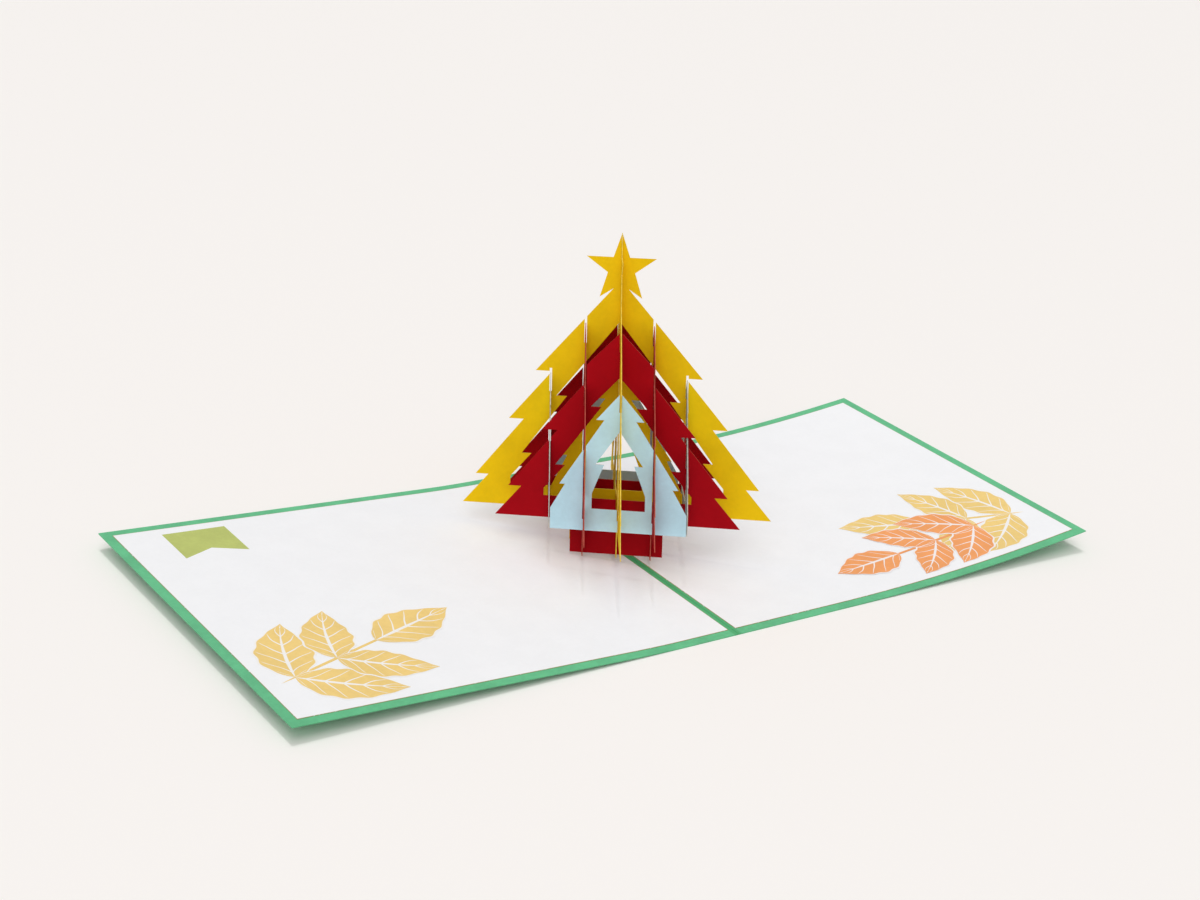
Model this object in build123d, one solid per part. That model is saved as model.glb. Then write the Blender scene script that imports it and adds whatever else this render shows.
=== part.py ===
"""Pop-up card lying open: a folded cover, two liners and a fir tree of interlocking card slices.

Frame: X across the panels (right is +), Y along the spine, Z up.
The origin is on the underside of the cover, at the middle of the spine.
"""

import os
from math import cos, radians, sin

from build123d import *

# Sheets of the card
spine_length = 150.0
panel_width = 180.0
cover_thickness = 0.4
liner_thickness = 0.2
liner_border = 3.8
spine_strip = 3.3
crease_width = 0.8
crease_depth = 0.12

# The panels lie flat beside the spine, then lift off: the right one curls up all the way to its
# liner's edge, and the left one bends up over a short length and runs on straight
right_flat = 50.0
right_curl_radius = 990.0
left_flat = 22.0
left_curl_radius = 500.0
left_bend = 20.0

# Lattice of slices: two families that cross at a fixed pitch, most of them in easy slots,
# and the two middle ones in a tight slot
slice_thickness = 0.3
slot_clearance = 0.3
tight_clearance = 0.05
slice_pitch = 13.0
family_a_heading = -44.0
family_b_heading = 55.8

# The tree leans back along the spine and stands a little behind the spine's middle
tree_lean = 8.4
tree_offset = 2.2

# Sizes that the slices share; heights are measured up the leaning tree from the liners' face.
# The feet are cut square to the tree, so the front ones end clear of the liners
foot_height = 1.0
trunk_height = 14.1
bar_height = 8.6
trunk_half_width = 17.7
side_step_height = 2.9

# Fir tiers of the middle slices: height of each underside, reach of its tip, reach of its notch
tier_heights = (68.0, 48.6, 25.8)
tier_reaches = (31.8, 41.9, 54.7)
notch_reaches = (25.5, 36.2, 49.7)
base_reach = 59.7
shoulder_reach = 2.8
shoulder_height = 101.1

# Star on top of the middle slices, five points
star_top = 122.1
star_arm_height = 112.9
star_arm_reach = 13.1
star_neck_reach = 3.1
star_waist_reach = 5.1
star_waist_height = 107.1
star_foot_reach = 8.0
star_foot_height = 97.7

# Windows of the middle slices: the tiers repeat, smaller
window_apex = 88.5
window_heights = (58.5, 35.1)
window_reaches = (23.7, 36.8)
window_notches = (19.7, 33.1)
window_base_reach = 41.1

# Slices one pitch out are the same tree, narrower by one pitch, with no star
side_apex = 87.4
side_window_apex = 70.1

# Small tree inside the middle slices
inner_apex = 70.5
inner_heights = (58.4, 35.3)
inner_reaches = (8.6, 21.0)
inner_notches = (5.0, 19.2)
inner_base_reach = 25.2

# Small tree of the outermost slices
outer_apex = 67.4
outer_heights = (57.0, 31.7)
outer_reaches = (8.9, 22.2)
outer_notches = (5.9, 20.1)
outer_corner_height = 22.1

# Window of both small trees
small_window_apex = 53.0
small_window_height = 39.9
small_window_reach = 8.9
small_window_notch = 5.6
small_window_base_reach = 10.0
small_window_corner_height = 28.6

# Worked out from the sizes above
liner_top = cover_thickness + liner_thickness
right_bend = panel_width - liner_border - right_flat
bar_top = trunk_height + bar_height
step_top = bar_top + side_step_height
slot_width = slice_thickness + 2 * slot_clearance
tight_slot_width = slice_thickness + 2 * tight_clearance
side_step_reach = slice_pitch - slot_width / 2
outer_end = 2 * slice_pitch - slot_width / 2
trim_width = 6 * trunk_half_width
trim_depth = trunk_half_width
cutter_length = 6 * slot_width
cutter_overrun = 2 * slot_width
heading_a = Vector(cos(radians(family_a_heading)), sin(radians(family_a_heading)), 0)
heading_b = Vector(cos(radians(family_b_heading)), sin(radians(family_b_heading)), 0)
UP = Vector(0, 0, 1)


def sheet_section(side, start, reach, low, high):
    """Section of one panel's sheet: flat, then an arc, then straight; side is +1 right, -1 left."""
    flat = right_flat if side > 0 else left_flat
    bend = right_bend if side > 0 else left_bend
    radius = right_curl_radius if side > 0 else left_curl_radius
    turn = bend / radius
    run = reach - flat - bend

    def on_arc(height, share):
        """Point at a height above the underside, at a share of the bend."""
        arc_radius = radius - height
        angle = turn * share
        return (side * (flat + arc_radius * sin(angle)), radius - arc_radius * cos(angle))

    def at_end(height):
        """Point at a height above the underside, at the sheet's free edge."""
        x, z = on_arc(height, 1)
        return (x + side * run * cos(turn), z + run * sin(turn))

    edges = [
        Line((side * start, low), (side * flat, low)),
        ThreePointArc(on_arc(low, 0), on_arc(low, 0.5), on_arc(low, 1)),
        Line(at_end(low), at_end(high)),
        ThreePointArc(on_arc(high, 1), on_arc(high, 0.5), on_arc(high, 0)),
        Line((side * flat, high), (side * start, high)),
        Line((side * start, high), (side * start, low)),
    ]
    if run > 0:
        edges += [Line(on_arc(low, 1), at_end(low)), Line(at_end(high), on_arc(high, 1))]
    return Plane.XZ * make_face(edges)


def make_cover():
    """One folded sheet: both panels with a scored crease along the spine."""
    sheet = Part()
    for side in (1, -1):
        section = sheet_section(side, 0, panel_width, 0, cover_thickness)
        sheet += extrude(section, amount=spine_length / 2, both=True)
    crease = Box(crease_width, spine_length, 2 * crease_depth)
    return sheet - Pos(0, 0, cover_thickness) * crease


def make_liner(side):
    """White sheet pasted inside one panel, with the cover's border showing round it."""
    section = sheet_section(
        side, spine_strip / 2, panel_width - liner_border, cover_thickness, liner_top
    )
    return extrude(section, amount=spine_length / 2 - liner_border, both=True)


def mirrored(half):
    """Closed outline from its right half, listed from the top down."""
    left = [(-reach, height) for reach, height in reversed(half) if reach > 0]
    return half + left


def tiers(heights, reaches, notches):
    """Right edge of fir tiers: each tip runs out, then steps back in to its notch."""
    points = []
    for height, reach, notch in zip(heights, reaches, notches):
        points += [(reach, height), (notch, height)]
    return points


def foot(base, trunk):
    """Right half of a lower edge, from the base corner to the trunk if there is one."""
    points = [(base, trunk_height)]
    if trunk:
        points += [(trunk_half_width, trunk_height), (trunk_half_width, foot_height)]
    return points


def small_window():
    """Window of a small tree: one tier over straight sides."""
    half = [(0, small_window_apex)]
    half += tiers((small_window_height,), (small_window_reach,), (small_window_notch,))
    half += [
        (small_window_base_reach, small_window_corner_height),
        (small_window_base_reach, bar_top),
    ]
    return mirrored(half)


def middle_loops():
    """Middle slice: starred tree, the gap round its small inner tree, and the inner window."""
    half = [
        (0, star_top),
        (star_neck_reach, star_arm_height),
        (star_arm_reach, star_arm_height),
        (star_waist_reach, star_waist_height),
        (star_foot_reach, star_foot_height),
        (shoulder_reach, shoulder_height),
    ]
    half += tiers(tier_heights, tier_reaches, notch_reaches) + foot(base_reach, True)
    gap_half = [(0, window_apex)]
    gap_half += tiers(window_heights, window_reaches, window_notches)
    gap_half += [(window_base_reach, step_top), (window_base_reach, bar_top)]
    inner_edge = tiers(inner_heights, inner_reaches, inner_notches) + [(inner_base_reach, bar_top)]
    gap_half += list(reversed(inner_edge)) + [(0, inner_apex)]
    left = [(-reach, height) for reach, height in reversed(gap_half[1:-1])]
    return [mirrored(half), gap_half + left, small_window()]


def side_loops():
    """Slice one pitch out: the tiers narrower by one pitch, the top tier ending at its slot."""
    tip = tier_reaches[0] - slice_pitch
    fall = (side_apex - tier_heights[0]) * side_step_reach / tip
    half = [(0, side_apex), (side_step_reach, side_apex - fall), (side_step_reach, tier_heights[0])]
    reaches = [reach - slice_pitch for reach in tier_reaches]
    notches = [reach - slice_pitch for reach in notch_reaches]
    half += tiers(tier_heights[1:], reaches[1:], notches[1:])
    half += foot(base_reach - slice_pitch, True)
    window = [(0, side_window_apex)]
    window += tiers(
        window_heights,
        [reach - slice_pitch for reach in window_reaches],
        [reach - slice_pitch for reach in window_notches],
    )
    window += [(window_base_reach - slice_pitch, step_top), (window_base_reach - slice_pitch, bar_top)]
    return [mirrored(half), mirrored(window)]


def outer_loops():
    """Slice two pitches out: a small tree with straight ends, clear of the card."""
    half = [(0, outer_apex)]
    half += tiers(outer_heights, outer_reaches, outer_notches)
    half += [(outer_end, outer_corner_height)] + foot(outer_end, False)
    return [mirrored(half), small_window()]


def spans(loops, place):
    """Heights between which a slice has card at a place along it, from the bottom up."""
    heights = []
    for loop in loops:
        for (x0, z0), (x1, z1) in zip(loop, loop[1:] + loop[:1]):
            if (x0 > place) != (x1 > place):
                heights.append(z0 + (z1 - z0) * (place - x0) / (x1 - x0))
    heights.sort()
    return list(zip(heights[0::2], heights[1::2]))


def seats(lower, upper):
    """Pairs of spans that meet, with the height where they halve each other.

    The lower slice is open upwards, so its span keeps its lowest meeting.
    The upper slice is open downwards, so its span keeps its highest meeting.
    """
    lowest = {}
    for span in lower:
        for other in upper:
            bottom, top = max(span[0], other[0]), min(span[1], other[1])
            if top > bottom and span not in lowest:
                lowest[span] = (other, (bottom + top) / 2)
    highest = {}
    for span, (other, middle) in lowest.items():
        highest[other] = (span, middle)
    return [(span, other, middle) for other, (span, middle) in highest.items()]


def slot(point, heading, width, bottom, top):
    """Cutter for one slot, turned along the slice that passes through it."""
    plane = Plane(origin=(point.X, point.Y, (bottom + top) / 2), x_dir=heading, z_dir=UP)
    return plane * Box(cutter_length, width, top - bottom)


def make_slice(loops, heading, across, index):
    """Flat slice standing along its heading, index pitches across from the tree's axis."""
    blank = make_face(Polyline(*loops[0], close=True))
    for hole in loops[1:]:
        blank -= make_face(Polyline(*hole, close=True))
    plane = Plane(origin=across * (index * slice_pitch), x_dir=heading, z_dir=heading.cross(UP))
    return plane * extrude(blank, amount=slice_thickness / 2, both=True)


def stand_up(sheet):
    """Set a slice on the liners with the tree's lean; feet that would sink in are trimmed to their face."""
    placed = Pos(0, tree_offset, liner_top) * sheet.rotate(Axis.X, -tree_lean)
    floor = Box(trim_width, trim_width, trim_depth)
    return placed - Pos(0, tree_offset, liner_top - trim_depth / 2) * floor


LOOPS = {0: middle_loops(), 1: side_loops(), 2: outer_loops()}
COLOURS = {0: "yellow", 1: "red", 2: "blue"}
A_NAMES = {-2: "_back", -1: "_back", 0: "", 1: "_front", 2: "_front"}
B_NAMES = {-2: "_left", -1: "_left", 0: "", 1: "_right", 2: "_right"}


def make_tree():
    """Ten slices: family A with slots open upwards, family B with slots open downwards."""
    family_a = {}
    family_b = {}
    for index in A_NAMES:
        loops = LOOPS[abs(index)]
        family_a[index] = make_slice(loops, heading_a, -heading_b, index)
        family_b[index] = make_slice(loops, heading_b, heading_a, index)
    for a_index in family_a:
        for b_index in family_b:
            point = heading_a * (b_index * slice_pitch) - heading_b * (a_index * slice_pitch)
            width = tight_slot_width if a_index == b_index == 0 else slot_width
            lower = spans(LOOPS[abs(a_index)], b_index * slice_pitch)
            upper = spans(LOOPS[abs(b_index)], -a_index * slice_pitch)
            for lower_span, upper_span, middle in seats(lower, upper):
                open_top = lower_span[1] + cutter_overrun
                open_bottom = upper_span[0] - cutter_overrun
                family_a[a_index] -= slot(point, heading_b, width, middle, open_top)
                family_b[b_index] -= slot(point, heading_a, width, open_bottom, middle)
    nodes = {}
    for index in A_NAMES:
        colour = COLOURS[abs(index)]
        nodes[f"{colour}_slice_a{A_NAMES[index]}"] = stand_up(family_a[index])
        nodes[f"{colour}_slice_b{B_NAMES[index]}"] = stand_up(family_b[index])
    return nodes


os.makedirs("parts", exist_ok=True)
nodes = {"cover": make_cover(), "liner_left": make_liner(-1), "liner_right": make_liner(1)}
nodes.update(make_tree())
for name, solid in nodes.items():
    export_step(solid, f"parts/{name}.step")
    print(name, len(solid.solids()), round(solid.volume, 2))
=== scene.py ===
# %% [markdown]
# # A pop-up card with a fir tree of slotted slices
# The card lies open on a table. A green folded cover carries two white liners, and a tree of flat slices
# stands on the spine, each slice slotted into the ones that cross it. The sheets exist already as exact
# solids, so this lesson dresses them: every sheet gets a paper finish, the liners get their printed leaf
# sprigs and pennant, and soft light and a camera complete the picture.

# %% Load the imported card
import math
from typing import NamedTuple

import bpy
import numpy as np
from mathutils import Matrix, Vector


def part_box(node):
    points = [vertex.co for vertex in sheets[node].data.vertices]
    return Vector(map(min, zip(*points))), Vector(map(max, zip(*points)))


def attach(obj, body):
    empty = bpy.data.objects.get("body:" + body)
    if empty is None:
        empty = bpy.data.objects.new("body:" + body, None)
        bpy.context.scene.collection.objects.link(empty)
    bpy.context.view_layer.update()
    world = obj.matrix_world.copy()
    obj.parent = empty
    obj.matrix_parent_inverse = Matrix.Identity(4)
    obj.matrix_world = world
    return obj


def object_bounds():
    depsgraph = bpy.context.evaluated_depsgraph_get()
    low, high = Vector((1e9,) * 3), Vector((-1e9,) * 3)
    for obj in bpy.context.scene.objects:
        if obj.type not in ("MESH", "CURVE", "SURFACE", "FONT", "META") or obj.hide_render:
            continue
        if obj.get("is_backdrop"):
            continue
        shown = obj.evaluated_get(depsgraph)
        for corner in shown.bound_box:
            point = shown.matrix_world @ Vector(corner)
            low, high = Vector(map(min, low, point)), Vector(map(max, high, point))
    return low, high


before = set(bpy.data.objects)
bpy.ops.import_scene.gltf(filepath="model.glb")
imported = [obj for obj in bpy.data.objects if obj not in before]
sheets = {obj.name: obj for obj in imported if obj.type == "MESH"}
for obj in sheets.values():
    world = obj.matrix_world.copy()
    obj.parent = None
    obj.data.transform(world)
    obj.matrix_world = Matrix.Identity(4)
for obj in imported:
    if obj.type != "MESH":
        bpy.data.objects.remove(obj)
cad_low, cad_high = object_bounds()
MM = 0.001
print("sheets loaded:", ", ".join(sorted(sheets)))
print("card size in mm:", [round(side / MM, 1) for side in cad_high - cad_low])

# %% [markdown]
# ## Shader maths as Python
# A paper finish is a small sum: a slow cloudiness, a fine fibre, and a mask for the cut edge. Wiring such
# sums by hand hides the sum, so a thin wrapper round a socket lets plain Python arithmetic add the Math
# nodes. Every other kind of node comes from one method, which sets the node's own settings first and then
# fills its sockets.

# %% A socket that does arithmetic
# Numbers of the Mix node's colour sockets, because several of its sockets share a name.
MIX_FACTOR, MIX_FIRST, MIX_SECOND, MIX_RESULT = 0, 6, 7, 2


class Signal:
    """One value on its way through a material; arithmetic on it adds Math nodes."""

    def __init__(self, tree, socket=None):
        self.tree = tree
        self.socket = socket

    def node(self, kind, settings, inputs, output=0):
        """Add a node, apply its settings, then fill its sockets with plain values or other signals."""
        made = self.tree.nodes.new("ShaderNode" + kind)
        for name, value in settings.items():
            setattr(made, name, value)
        fill(made, inputs)
        return Signal(self.tree, made.outputs[output])

    def math(self, operation, *values):
        """A Math node on any mix of signals and numbers."""
        return self.node("Math", {"operation": operation}, dict(enumerate(values)))

    def __add__(self, other):
        return self.math("ADD", self, other)

    def __sub__(self, other):
        return self.math("SUBTRACT", self, other)

    def __rsub__(self, other):
        return self.math("SUBTRACT", other, self)

    def __mul__(self, other):
        return self.math("MULTIPLY", self, other)

    def __abs__(self):
        return self.math("ABSOLUTE", self)

    __radd__ = __add__
    __rmul__ = __mul__

    def rise(self, low, high):
        """0 below low, 1 above high, and a smooth step between them."""
        settings = {"interpolation_type": "SMOOTHSTEP"}
        return self.node("MapRange", settings, {"Value": self, "From Min": low, "From Max": high})

    def blend(self, first, second):
        """Colour that goes from first to second as this signal goes from 0 to 1."""
        inputs = {MIX_FACTOR: self, MIX_FIRST: first, MIX_SECOND: second}
        return self.node("Mix", {"data_type": "RGBA"}, inputs, MIX_RESULT)


def fill(made, inputs):
    """Fill a node's sockets: a signal is linked, and a plain value is set on the socket."""
    for key, value in inputs.items():
        if isinstance(value, Signal):
            value.tree.links.new(value.socket, made.inputs[key])
        else:
            made.inputs[key].default_value = value


# %% [markdown]
# ## What all the paper shares
# Paper is felted fibre: seen close it has a fine random nap, and seen from further off a faint cloudiness
# where the pulp lies thicker. Both are noise on the sheet's own coordinates, in metres, so their scale is
# real: the nap is about 0.4 mm and the clouds about a centimetre. A third noise between the two, the flock,
# keeps either from looking too regular.

# %% Grain of paper
NAP_SCALE, NAP_DETAIL, NAP_BREAKUP = 2600.0, 3.0, 0.6
FLOCK_SCALE = 620.0
CLOUD_SCALE = 85.0
BROAD_DETAIL = 2.0


def paper_grain(start, place):
    """Nap, flock and clouds: three noises from 0 to 1 at falling scale."""
    fine = {"Vector": place, "Scale": NAP_SCALE, "Detail": NAP_DETAIL, "Roughness": NAP_BREAKUP}
    nap = start.node("TexNoise", {}, fine)
    flock = start.node("TexNoise", {}, {"Vector": place, "Scale": FLOCK_SCALE, "Detail": BROAD_DETAIL})
    cloud = start.node("TexNoise", {}, {"Vector": place, "Scale": CLOUD_SCALE, "Detail": BROAD_DETAIL})
    return nap, flock, cloud


for grain, scale in (("nap", NAP_SCALE), ("flock", FLOCK_SCALE), ("clouds", CLOUD_SCALE)):
    print("paper grain:", grain, round(1 / scale / MM, 2), "mm")

# %% [markdown]
# ## One recipe for every paper
# The papers of the card differ in a few numbers only, so each is a row of those numbers and one function
# turns a row into signals. Clouds and flock together make the tone, which later moves a colour between its
# darker and its lighter shade. Nap and flock together make the relief, and the nap alone roughens the sheen.

# %% Kinds of paper
NAP_ROUGHENS = 0.2
TONE_LOW, TONE_HIGH = 0.3, 0.7


class PaperKind(NamedTuple):
    """What sets one paper apart; each share leaves the rest to the flock, and depth is in metres."""

    roughness: float
    cloud_share: float
    nap_share: float
    strength: float
    depth: float


def paper_signals(start, kind):
    """Place, flock and tone of a kind of paper, and its Roughness and Normal sockets."""
    place = start.node("TexCoord", {}, {}, "Object")
    nap, flock, cloud = paper_grain(start, place)
    tone = (kind.cloud_share * cloud + (1 - kind.cloud_share) * flock).rise(TONE_LOW, TONE_HIGH)
    height = kind.nap_share * nap + (1 - kind.nap_share) * flock
    bump = {"Strength": kind.strength, "Distance": kind.depth, "Height": height}
    sockets = {
        "Roughness": kind.roughness + NAP_ROUGHENS * nap,
        "Normal": start.node("Bump", {}, bump, "Normal"),
    }
    return place, flock, tone, sockets


# %% Colours and finishes
def shade(colour, factor=1.0):
    """A colour made darker or lighter by a factor, with its alpha."""
    return tuple(min(1.0, channel * factor) for channel in colour) + (1.0,)


def toned(signal, colour, tones):
    """Colour that goes from its darker to its lighter tone as the signal goes from 0 to 1."""
    darker, lighter = tones
    return signal.blend(shade(colour, darker), shade(colour, lighter))


def new_finish(name):
    """An empty material: itself, a signal to start from, and its Principled shader."""
    material = bpy.data.materials.new(name)
    material.use_nodes = True
    return material, Signal(material.node_tree), material.node_tree.nodes["Principled BSDF"]


def dress(name, finish):
    """Give a sheet its finish in place of the one that it came with."""
    materials = sheets[name].data.materials
    materials.clear()
    materials.append(finish)


# %% [markdown]
# ## Card of the slices
# The slices are laser-cut from matte coloured card. Their faces show the full colour, and their cut edges
# a lighter, duller one. Painting faces one by one would need a selection, so the finish asks each point
# which way it faces: a point that faces along the sheet is on a cut edge. The sheet's own flat direction
# comes from its vertices, as the direction in which they spread least.

# %% Find each slice's flat direction
def sheet_points(name):
    """Vertices of a sheet, one row each."""
    vertices = sheets[name].data.vertices
    points = np.empty(len(vertices) * 3)
    vertices.foreach_get("co", points)
    return points.reshape(-1, 3)


def flat_direction(points):
    """Unit normal of a flat sheet: the last right singular vector of its centred vertices."""
    return np.linalg.svd(points - points.mean(0), full_matrices=False)[2][-1]


family_normal = {family: flat_direction(sheet_points("yellow_slice_" + family)) for family in "ab"}
for family, normal in family_normal.items():
    print("family", family, "faces", np.round(normal, 3))

# %% Finish for slice card
SLICE_PAPER = PaperKind(roughness=0.55, cloud_share=0.7, nap_share=0.6, strength=0.35, depth=0.04 * MM)
MATTE_SPECULAR = 0.06
FACE_TONES = (0.94, 1.05)
EDGE_TONES = (0.85, 1.1)
MOTTLE_LOW, MOTTLE_HIGH = 0.35, 0.65
CUT_LOW, CUT_HIGH = 0.3, 0.7


def slice_card(name, face, edge, normal):
    """Coloured card: clouded face colour, mottled cut edge, and a fine nap."""
    material, start, shader = new_finish(name)
    _, flock, tone, sockets = paper_signals(start, SLICE_PAPER)
    facing = start.node("TexCoord", {}, {}, "Normal")
    along = start.node("VectorMath", {"operation": "DOT_PRODUCT"}, {0: facing, 1: normal}, "Value")
    cut = (1 - abs(along)).rise(CUT_LOW, CUT_HIGH)
    mottle = toned(flock.rise(MOTTLE_LOW, MOTTLE_HIGH), edge, EDGE_TONES)
    fill(shader, {
        "Base Color": cut.blend(toned(tone, face, FACE_TONES), mottle),
        "Specular IOR Level": MATTE_SPECULAR,
        **sockets,
    })
    return material


# %% Dress the ten slices
slice_faces = {
    "yellow": (0.90, 0.58, 0.005),
    "red": (0.385, 0.0015, 0.0065),
    "blue": (0.54, 0.795, 0.905),
}
slice_edges = {
    "yellow": (0.86, 0.62, 0.09),
    "red": (0.50, 0.10, 0.07),
    "blue": (0.55, 0.53, 0.47),
}
for colour, face in slice_faces.items():
    for family, normal in family_normal.items():
        finish = slice_card(f"{colour}_card_{family}", face, slice_edges[colour], normal)
        members = [name for name in sheets if name.startswith(f"{colour}_slice_{family}")]
        for name in members:
            dress(name, finish)
        print(finish.name, "on", ", ".join(sorted(members)))

# %% [markdown]
# ## Liners
# Each liner is a sheet of white paper, pasted inside its panel. The laser that cut it left its cut edges
# tan, which the photograph shows as a gilt-like line. The scorch is drawn by the distance to the sheet's
# own box: it covers the cut edges and a hair's breadth of the upper face beside them.

# %% Finish for the liners
LINER_PAPER = PaperKind(roughness=0.6, cloud_share=0.6, nap_share=0.7, strength=0.25, depth=0.03 * MM)
LINER_WHITE = (0.91, 0.915, 0.937)
LINER_TONES = (0.985, 1.01)
LINER_TAN = (0.46, 0.33, 0.15)
SCORCH_FULL, SCORCH_END = 0.06 * MM, 0.24 * MM
PATCHY_LOW, PATCHY_HIGH = 0.2, 0.45


def outline_distance(start, place, low, high):
    """Distance in plan from a point to the nearest side of a box, in metres."""
    x = start.node("SeparateXYZ", {}, {0: place}, "X")
    y = start.node("SeparateXYZ", {}, {0: place}, "Y")
    nearest_x = start.math("MINIMUM", x - low.x, high.x - x)
    nearest_y = start.math("MINIMUM", y - low.y, high.y - y)
    return start.math("MINIMUM", nearest_x, nearest_y)


def liner_paper(name, low, high):
    """White paper with a thin tan line along its cut outline."""
    material, start, shader = new_finish(name)
    place, flock, tone, sockets = paper_signals(start, LINER_PAPER)
    rim = 1 - outline_distance(start, place, low, high).rise(SCORCH_FULL, SCORCH_END)
    scorch = rim * flock.rise(PATCHY_LOW, PATCHY_HIGH)
    colour = scorch.blend(toned(tone, LINER_WHITE, LINER_TONES), shade(LINER_TAN))
    fill(shader, {"Base Color": colour, **sockets})
    return material


liners = ("liner_left", "liner_right")
for name in liners:
    finish = liner_paper(name + "_paper", *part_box(name))
    dress(name, finish)
    print(name, "dressed in", finish.name)

# %% [markdown]
# ## Cover
# The cover is heavier card, coloured through in green. It shows as a border round the liners and as a strip
# between them, which lies recessed below the liners; its darker green there is painted shade.

# %% Finish for the cover
COVER_PAPER = PaperKind(roughness=0.5, cloud_share=0.6, nap_share=0.6, strength=0.4, depth=0.05 * MM)
COVER_GREEN = (0.12, 0.51, 0.25)
COVER_TONES = (0.9, 1.1)
# Painted shade for the spine strip, recessed between the liners: its darker green, and the half widths where
# it is full and where it has faded out.
SPINE_SHADE_GREEN = (0.075, 0.42, 0.172)
SPINE_SHADE_FULL, SPINE_SHADE_END = 1.0 * MM, 2.2 * MM


def cover_card(name):
    """Green card: clouded face, and painted shade along the spine: a darker strip where it lies recessed."""
    material, start, shader = new_finish(name)
    place, _, tone, sockets = paper_signals(start, COVER_PAPER)
    across = start.node("SeparateXYZ", {}, {0: place}, "X")
    # Painted shade: the green darkens towards the spine, in the strip recessed between the liners.
    spine_shade = 1 - abs(across).rise(SPINE_SHADE_FULL, SPINE_SHADE_END)
    colour = spine_shade.blend(toned(tone, COVER_GREEN, COVER_TONES), shade(SPINE_SHADE_GREEN))
    fill(shader, {"Base Color": colour, **sockets})
    return material


finish = cover_card("cover_card")
dress("cover", finish)
print("cover dressed in", finish.name)

# %% [markdown]
# ## Printed leaves: the shape of one leaf
# The liners carry pale printed leaves. Ink has no height to speak of, so a picture could stand for it, but a
# mesh keeps the print sharp at any distance. A leaf is a function of two numbers: how far along its midrib,
# and how far out to one side. All leaves of a sprig are worked out together as one array.

# %% Leaf grid
ALONG = np.linspace(0.0, 1.0, 33)
OUT = np.linspace(1.0, -1.0, 11)
SWELL_BASE, SWELL_TIP = 0.8, 1.15
RIPPLE_DEPTH, RIPPLE_COUNT = 0.05, 5


def leaf_grid(base, heading, length, width, bend):
    """Plan points of many leaves, shape (leaf, along, out, 2).

    The midrib's heading turns evenly by bend, and its points are the running sum of unit steps times
    length. With u along it, half the width goes as u^SWELL_BASE * (1 - u)^SWELL_TIP, scaled to peak at
    width, times a ripple. OUT runs from the left margin to the right one, so that the quads face up.
    """
    turn = heading[:, None] + bend[:, None] * (ALONG - 0.5)
    step = np.stack([np.cos(turn), np.sin(turn)], -1)
    run = np.cumsum(step, 1) - step
    midrib = base[:, None] + run * length[:, None, None] / (len(ALONG) - 1)
    swell = ALONG ** SWELL_BASE * (1 - ALONG) ** SWELL_TIP
    ripple = 1 + RIPPLE_DEPTH * np.sin(2 * np.pi * RIPPLE_COUNT * ALONG)
    half = width[:, None] * swell / swell.max() * ripple
    side = np.stack([-np.sin(turn), np.cos(turn)], -1)
    return midrib[:, :, None] + side[:, :, None] * (half[:, :, None] * OUT)[..., None]


print("a leaf has", len(ALONG), "points along and", len(OUT), "across")

# %% [markdown]
# ## Printed leaves: laying them on the paper
# The liners aren't flat: one panel runs up straight and the other curls. The print reads each liner's own
# upper profile from its vertices and lies a hair above it. Leaves that overlap lie in steps of about a
# hundredth of a millimetre, so the upper one covers the lower one cleanly.

# %% Lay a plan on a liner
PROFILE_DEGREE = 6
INK_CLEARANCE = 0.012 * MM
INK_STEP = 0.012 * MM


def liner_profile(name):
    """Upper profile of a liner: sorted x, and z there.

    A smooth curve fitted to all the vertices runs between the sheet's two faces, below the upper one.
    """
    points = sheet_points(name)
    mid = np.polyval(np.polyfit(points[:, 0], points[:, 2], PROFILE_DEGREE), points[:, 0])
    upper = points[points[:, 2] > mid]
    order = np.argsort(upper[:, 0])
    return upper[order, 0], upper[order, 2]


profiles = {name: liner_profile(name) for name in liners}


def lay(plan, name, rank):
    """Plan points in mm to points on a liner: z is its profile at x, raised by each leaf's rank."""
    x = plan[..., 0] * MM
    z = np.interp(x, *profiles[name]) + INK_CLEARANCE + rank * INK_STEP
    return np.stack([x, plan[..., 1] * MM, z], -1)


for name, (_, z) in profiles.items():
    print(name, "rises from", round(z.min() / MM, 2), "to", round(z.max() / MM, 2), "mm")

# %% Put grids into a mesh
INK_THICKNESS = 0.008 * MM


def patch_faces(patches, rows, columns):
    """Corner numbers of every quad of equal grids, in order round each quad, shape (quad, 4)."""
    first = np.arange(rows - 1)[:, None] * columns + np.arange(columns - 1)
    quad = np.stack([first, first + 1, first + columns + 1, first + columns], -1).reshape(-1, 4)
    return (np.arange(patches)[:, None, None] * rows * columns + quad).reshape(-1, 4)


def add_patches(name, points, uv, finish):
    """Mesh object from grids of points (patch, row, column, 3) and their UVs, with the finish."""
    faces = patch_faces(*points.shape[:3])
    mesh = bpy.data.meshes.new(name)
    mesh.from_pydata(points.reshape(-1, 3), [], faces.tolist())
    layer = mesh.uv_layers.new(name="leaf")
    layer.data.foreach_set("uv", uv.reshape(-1, 2)[faces.ravel()].ravel())
    mesh.materials.append(finish)
    piece = bpy.data.objects.new(name, mesh)
    bpy.context.scene.collection.objects.link(piece)
    return piece


def print_on_liner(name, liner, rank, plan, uv, finish):
    """Print a plan on a liner: a thin film of ink that rides with the card."""
    piece = add_patches(name, lay(plan, liner, rank), uv, finish)
    film = piece.modifiers.new("ink", "SOLIDIFY")
    film.thickness = INK_THICKNESS
    film.offset = 1.0
    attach(piece, "root")
    print(name, len(piece.data.polygons), "quads")


# %% [markdown]
# ## Printed leaves: the ink
# The ink is a pale wash with white veins left open: a midrib, slanting side veins and a margin. They follow
# the leaf, so they come from the leaf's own UV map: one number along the midrib and one across it. A vein
# is a distance cut off by a smooth step. Adding a little to the distance towards the leaf's tip or margin
# makes the vein thinner there.

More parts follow.
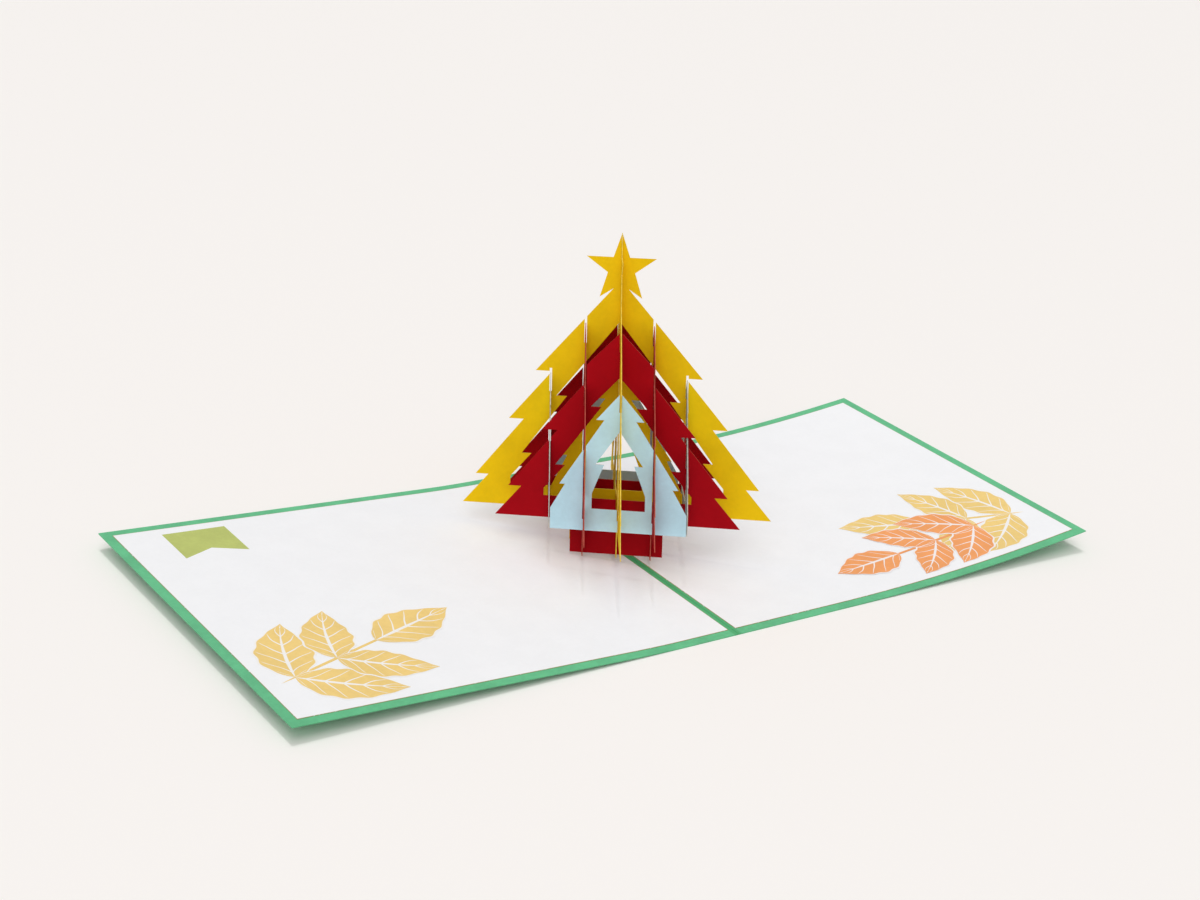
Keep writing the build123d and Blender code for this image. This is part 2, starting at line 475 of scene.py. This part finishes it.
# %% Finish for the leaf ink
INK_PAPER = LINER_PAPER._replace(roughness=0.55)
LEAF_TONES = (0.95, 1.05)
MIDRIB_FULL, MIDRIB_END, MIDRIB_TAPER = 0.06, 0.1, 0.06
# The shift keeps the number whose fraction is taken above zero all over the leaf.
VEIN_COUNT, VEIN_SLANT, VEIN_SHIFT = 6.0, 1.5, 2
VEIN_FULL, VEIN_END, VEIN_TAPER = 0.045, 0.085, 0.05
VEIN_FADES, VEIN_GONE = 0.75, 0.9
MARGIN_LOW, MARGIN_HIGH = 0.9, 0.94
VEIN_WHITENESS = 0.92


def vein_mask(start, uv):
    """1 on the midrib, the side veins and the margin of a leaf, and 0 between them."""
    along = start.node("SeparateXYZ", {}, {0: uv}, "X")
    out = abs(2 * start.node("SeparateXYZ", {}, {0: uv}, "Y") - 1)
    midrib = 1 - (out + MIDRIB_TAPER * along).rise(MIDRIB_FULL, MIDRIB_END)
    wave = abs(start.math("FRACT", VEIN_COUNT * along - VEIN_SLANT * out + VEIN_SHIFT) - 0.5)
    side_vein = 1 - (wave + VEIN_TAPER * out).rise(VEIN_FULL, VEIN_END)
    inside = 1 - out.rise(VEIN_FADES, VEIN_GONE)
    margin = out.rise(MARGIN_LOW, MARGIN_HIGH)
    return start.math("MAXIMUM", start.math("MAXIMUM", midrib, side_vein * inside), margin)


def leaf_ink(name, ink):
    """Printed wash with paper-white veins and margin, from the leaf's UV map."""
    material, start, shader = new_finish(name)
    _, _, tone, sockets = paper_signals(start, INK_PAPER)
    white = vein_mask(start, start.node("UVMap", {"uv_map": "leaf"}, {}))
    colour = (VEIN_WHITENESS * white).blend(toned(tone, ink, LEAF_TONES), shade(LINER_WHITE))
    fill(shader, {"Base Color": colour, **sockets})
    return material


ink_colours = {"yellow": (0.87, 0.62, 0.21), "orange": (0.90, 0.36, 0.12)}
inks = {name: leaf_ink(name + "_ink", colour) for name, colour in ink_colours.items()}
print("inks:", ", ".join(ink.name for ink in inks.values()))

# %% [markdown]
# ## Printed leaves: the sprigs
# Each sprig is a straight stem with pairs of broad leaves and one leaf at its end, like a sprig of bay. A
# yellow one grows from each outer front corner of the card, and an orange one lies over the right one. The
# stem is a very thin leaf, so it comes from the same grid; its UV is a single spot of plain ink, free of
# veins.

# %% Plan a sprig
STATIONS = np.array([0.14, 0.58])
STEM_WIDTH = 0.7
STEM_REACH = 1.5
LEAF_SHRINK = 0.2
LEAF_BEND = -0.3


def sprig_plan(root, heading, length, leaf_length, leaf_width, splay):
    """Stem and leaves of one sprig as arrays: base points, headings, lengths, half widths and bends.

    A station t lies at root + length * t along the heading. Its two leaves leave it at plus and minus
    splay and bend back towards the stem, and the end leaf follows the stem, which runs on beneath it.
    Leaves further up the stem are smaller, apart from the one at its end.
    """
    stations = np.concatenate([[0.0], np.repeat(STATIONS, 2), [1.0]])
    sides = np.concatenate([[0.0], np.tile([1.0, -1.0], len(STATIONS)), [0.0]])
    base = root + length * stations[:, None] * np.array([np.cos(heading), np.sin(heading)])
    size = 1 - LEAF_SHRINK * stations + LEAF_SHRINK * (stations == 1.0)
    reach = np.where(stations > 0, leaf_length * size, STEM_REACH * length)
    half = np.where(stations > 0, leaf_width * size, STEM_WIDTH)
    return base, heading + sides * splay, reach, half, LEAF_BEND * sides


# %% Print the sprigs
STEM_SPOT = (0.04, 0.32)


def add_sprig(name, liner, ink, lift, root, heading, length, leaf_length, leaf_width, splay):
    """Print one sprig on a liner, the stem lowest and the end leaf highest."""
    turn, spread = math.radians(heading), math.radians(splay)
    plan = leaf_grid(*sprig_plan(np.array(root), turn, length, leaf_length, leaf_width, spread))
    rank = lift + np.arange(len(plan))[:, None, None]
    along, out = np.meshgrid(ALONG, (OUT + 1) / 2, indexing="ij")
    uv = np.broadcast_to(np.stack([along, out], -1), plan.shape).copy()
    uv[0] = STEM_SPOT
    print_on_liner(name, liner, rank, plan, uv, inks[ink])


# Lengths in mm and angles in degrees, as add_sprig takes them.
sprig_rows = [
    ("left_sprig", "liner_left", "yellow", 0, (-170.0, -49.0), 20.0, 47.0, 39.0, 11.0, 50.0),
    ("right_sprig", "liner_right", "yellow", 0, (170.0, -49.5), 160.0, 44.0, 37.0, 10.2, 52.0),
    ("front_sprig", "liner_right", "orange", 7, (151.0, -46.5), 184.0, 50.0, 34.0, 9.2, 36.0),
]
for row in sprig_rows:
    add_sprig(*row)

# %% [markdown]
# ## Printed pennant
# A small olive pennant with a swallow tail is printed in the back corner of the left liner. It is one grid
# too: across its width, and down from its straight top to a tail that is notched in the middle.

# %% Print the pennant
PENNANT_LEFT, PENNANT_RIGHT, PENNANT_TOP = -159.0, -134.0, 66.5
PENNANT_LENGTH, PENNANT_NOTCH = 21.0, 5.5
PENNANT_COLUMNS, PENNANT_ROWS = 13, 9
PENNANT_OLIVE = (0.50, 0.56, 0.155)
PENNANT_TONES = (0.94, 1.06)


def pennant_plan(columns, rows):
    """Plan of a swallow-tailed flag: y = top - v * (length - notch * (1 - |2u - 1|))."""
    u, v = np.meshgrid(np.linspace(0, 1, columns), np.linspace(1, 0, rows), indexing="ij")
    x = PENNANT_LEFT + u * (PENNANT_RIGHT - PENNANT_LEFT)
    y = PENNANT_TOP - v * (PENNANT_LENGTH - PENNANT_NOTCH * (1 - abs(2 * u - 1)))
    return np.stack([x, y], -1)[None], np.stack([u, v], -1)[None]


def flat_ink(name, ink):
    """Plain printed wash on paper."""
    material, start, shader = new_finish(name)
    _, _, tone, sockets = paper_signals(start, INK_PAPER)
    fill(shader, {"Base Color": toned(tone, ink, PENNANT_TONES), **sockets})
    return material


plan, uv = pennant_plan(PENNANT_COLUMNS, PENNANT_ROWS)
print_on_liner("pennant", "liner_left", 0, plan, uv, flat_ink("olive_ink", PENNANT_OLIVE))

# %% [markdown]
# ## Floor
# The card lies on a plain pale table. The floor is a wide sheet just under the card. It isn't part of the
# object, so it is marked as stage.

# %% Lay the floor
FLOOR_HALF = 6.0
FLOOR_POINTS = 3
FLOOR_GAP = 0.02 * MM
FLOOR_COLOUR = (0.94, 0.908, 0.885)
FLOOR_ROUGHNESS = 0.8

floor_finish, _, floor_shader = new_finish("pale_table")
fill(floor_shader, {"Base Color": shade(FLOOR_COLOUR), "Roughness": FLOOR_ROUGHNESS})
floor_side = np.linspace(-FLOOR_HALF, FLOOR_HALF, FLOOR_POINTS)
u, v = np.meshgrid(floor_side, floor_side)
floor_points = np.stack([u, v, np.full_like(u, cad_low.z - FLOOR_GAP)], -1)[None]
floor = add_patches("floor", floor_points, np.stack([u, v], -1)[None], floor_finish)
floor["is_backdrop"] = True
print("floor at", round(floor_points[0, 0, 0, 2] / MM, 3), "mm")

# %% [markdown]
# ## Light
# The photograph has the even light of a studio tent: broad soft sources high in front, overhead and above
# the camera, and pale walls all round. Three sun lamps with wide discs and a plain pale world do the same,
# and unlike a panel close by they leave the floor evenly lit. A fourth, small one shines down along the
# leaning tree: every slice stands edge on to it, so it reaches the liners and draws only thin shadows.

# %% Hang the lamps
def add_sun(name, azimuth, elevation, strength, disc):
    """A sun lamp that shines from an azimuth and elevation, in degrees, with a disc as wide as given."""
    lamp = bpy.data.lights.new(name, "SUN")
    lamp.energy = strength
    lamp.angle = math.radians(disc)
    sun = bpy.data.objects.new(name, lamp)
    sun.rotation_euler = (math.radians(90 - elevation), 0, math.radians(azimuth))
    bpy.context.scene.collection.objects.link(sun)


# Name, azimuth, elevation, strength and disc, as add_sun takes them.
sun_rows = [
    ("front_top", -45.0, 70.0, 0.6, 40.0),
    ("overhead", 165.0, 78.0, 0.37, 26.0),
    ("along_tree", 180.0, 81.6, 0.58, 3.0),
    ("front_fill", -42.0, 38.0, 0.68, 40.0),
]
for row in sun_rows:
    add_sun(*row)
print("lamps:", ", ".join(row[0] for row in sun_rows))

# %% Fill the surroundings
WORLD_COLOUR = (1.0, 0.99, 0.975)
WORLD_LEVEL = 0.39

world = bpy.data.worlds.new("studio")
world.use_nodes = True
bpy.context.scene.world = world
fill(world.node_tree.nodes["Background"], {"Color": shade(WORLD_COLOUR), "Strength": WORLD_LEVEL})
bpy.context.scene.view_settings.view_transform = "Standard"
print("world at", WORLD_LEVEL)

# %% [markdown]
# ## Camera
# The camera's place, turn and lens were worked out from the photograph: the card's edges and the crossings
# of the slices fix them. It looks down on the card from the front left, a little rolled.

# %% Set up the camera
CAMERA_PLACE = np.array([-0.4698, -0.5904, 0.3576])
CAMERA_YAW, CAMERA_PITCH, CAMERA_ROLL = np.radians([37.66, 22.80, 6.67])
CAMERA_LENS, CAMERA_SENSOR = 65.0, 36.0


def camera_axes(yaw, pitch, roll):
    """Right, up and back unit vectors: level axes at that yaw and pitch, turned by roll about the view."""
    view = np.array([math.sin(yaw) * math.cos(pitch), math.cos(yaw) * math.cos(pitch), -math.sin(pitch)])
    level = np.array([math.cos(yaw), -math.sin(yaw), 0.0])
    rise = np.cross(level, view)
    right = math.cos(roll) * level + math.sin(roll) * rise
    up = math.cos(roll) * rise - math.sin(roll) * level
    return right, up, -view


placement = np.eye(4)
placement[:3, :3] = np.column_stack(camera_axes(CAMERA_YAW, CAMERA_PITCH, CAMERA_ROLL))
placement[:3, 3] = CAMERA_PLACE
camera_data = bpy.data.cameras.new("photo_camera")
camera_data.sensor_width = CAMERA_SENSOR
camera_data.lens = CAMERA_LENS
camera = bpy.data.objects.new("photo_camera", camera_data)
bpy.context.scene.collection.objects.link(camera)
camera.matrix_world = placement.T.tolist()
bpy.context.scene.camera = camera
print("camera looks along", np.round(-placement[:3, 2], 3))

# %% [markdown]
# ## Size of the dressed card
# The print lies within the card, so the dressed card is as large as the bare one. Both boxes are kept for
# comparison, and the growth from one to the other is printed.

# %% Print the growth in size
dressed_low, dressed_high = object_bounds()
growth = (dressed_high - dressed_low) - (cad_high - cad_low)
print("grown by, in mm:", [round(side / MM, 3) for side in growth])
